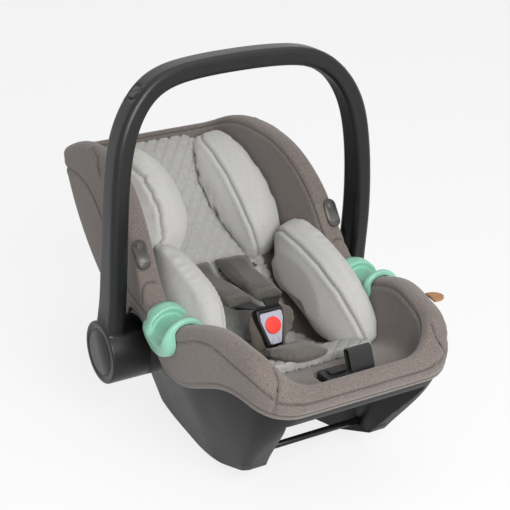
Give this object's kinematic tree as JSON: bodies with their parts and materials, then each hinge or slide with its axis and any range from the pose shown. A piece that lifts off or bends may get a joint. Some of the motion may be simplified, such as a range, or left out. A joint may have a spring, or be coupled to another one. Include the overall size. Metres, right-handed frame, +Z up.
{
  "type": "infant car seat",
  "caption": "Rear-facing infant car seat with a carry handle, fabric cover, quilted newborn insert and a three-point harness.",
  "frame": {"origin": "centre of the object on the floor, in the mirror plane, halfway between the foot end and the head end", "axes": "+Z up, +Y towards the head end, +X to the right hand of someone who stands at the foot end and looks at the seat; the foot end faces -Y"},
  "size_m": [0.4592, 0.6808, 0.582],
  "materials": {
    "bar_metal": "satin black",
    "base_plastic": "fine grain",
    "black_plastic": "satin",
    "bucket_plastic": "fine grain",
    "buckle_grey": "satin gloss",
    "button_red": "gloss",
    "clip_grey": "fine grain",
    "cover_fabric": "woven melange",
    "crotch_fabric": "soft knit",
    "foam": "expanded foam",
    "guide_mint": "satin gloss",
    "handle_plastic": "satin",
    "insert_fabric": "soft knit",
    "pad_fabric": "padded weave",
    "spring_steel": "bright",
    "tag_leather": "smooth",
    "webbing": "woven band"
  },
  "bodies": {
    "seat": {"adjuster_housing": "black_plastic", "adjuster_spring": "spring_steel", "adjuster_strap": "webbing", "base_shell": "base_plastic", "belt_guide_left": "guide_mint", "belt_guide_right": "guide_mint", "bucket_shell": "bucket_plastic", "buckle_face": "buckle_grey", "buckle_housing": "black_plastic", "buckle_tongue_left": "black_plastic", "buckle_tongue_right": "black_plastic", "canopy_clip_left": "clip_grey", "canopy_clip_right": "clip_grey", "crotch_pad": "crotch_fabric", "crotch_strap": "webbing", "foam_liner": "foam", "front_cross_bar": "bar_metal", "harness_yoke": "spring_steel", "hub_axle_left": "spring_steel", "hub_axle_right": "spring_steel", "hub_ring_left": "black_plastic", "hub_ring_right": "black_plastic", "insert_back_pad": "insert_fabric", "insert_bolster_left": "insert_fabric", "insert_bolster_right": "insert_fabric", "insert_head_pad_left": "insert_fabric", "insert_head_pad_right": "insert_fabric", "insert_seat_pad": "insert_fabric", "rear_cross_bar": "bar_metal", "seat_cover": "cover_fabric", "shoulder_pad_left": "pad_fabric", "shoulder_pad_right": "pad_fabric", "shoulder_strap_left": "webbing", "shoulder_strap_right": "webbing", "side_tag": "tag_leather"},
    "handle": {"handle_liner": "handle_plastic", "handle_shell": "handle_plastic", "hub_cap_left": "handle_plastic", "hub_cap_right": "handle_plastic", "release_cable_left": "spring_steel", "release_cable_right": "spring_steel"},
    "button_right": {"button_spring_right": "spring_steel", "handle_button_right": "handle_plastic"},
    "button_left": {"button_spring_left": "spring_steel", "handle_button_left": "handle_plastic"},
    "lock_right": {"lock_gear_right": "black_plastic", "lock_spring_right": "spring_steel"},
    "lock_left": {"lock_gear_left": "black_plastic", "lock_spring_left": "spring_steel"},
    "buckle_release": {"buckle_button": "button_red", "buckle_spring": "spring_steel"},
    "adjuster_release": {"adjuster_button": "black_plastic"}
  },
  "joints": [
    {"name": "handle_hinge", "type": "hinge", "parent": "seat", "child": "handle", "pos_m": [0, 0.033, 0.149], "axis": [-1, 0, 0], "range_deg": [0, 105]},
    {"name": "handle_button_right_press", "type": "slide", "parent": "handle", "child": "button_right", "axis": [-0.6735, 0, -0.7392], "range_m": [0, 0.004], "stiffness_N_per_m": 1500, "springref_m": -0.002},
    {"name": "lock_gear_right_slide", "type": "slide", "parent": "handle", "child": "lock_right", "axis": [1, 0, 0], "range_m": [0, 0.006], "stiffness_N_per_m": 600, "springref_m": -0.006},
    {"name": "handle_button_left_press", "type": "slide", "parent": "handle", "child": "button_left", "axis": [0.6735, 0, -0.7392], "range_m": [0, 0.004], "stiffness_N_per_m": 1500, "springref_m": -0.002},
    {"name": "lock_gear_left_slide", "type": "slide", "parent": "handle", "child": "lock_left", "axis": [-1, 0, 0], "range_m": [0, 0.006], "stiffness_N_per_m": 600, "springref_m": -0.006},
    {"name": "buckle_release_press", "type": "slide", "parent": "seat", "child": "buckle_release", "axis": [0, 0.9272, -0.3746], "range_m": [0, 0.0035], "stiffness_N_per_m": 8000, "springref_m": -0.002},
    {"name": "adjuster_release_press", "type": "slide", "parent": "seat", "child": "adjuster_release", "axis": [0, 0, -1], "range_m": [0, 0.003], "stiffness_N_per_m": 3000, "springref_m": -0.002}
  ],
  "couplings": [
    {"joint": "lock_gear_right_slide", "follows": "handle_button_right_press", "ratio": 1.5},
    {"joint": "lock_gear_left_slide", "follows": "handle_button_left_press", "ratio": 1.5}
  ]
}
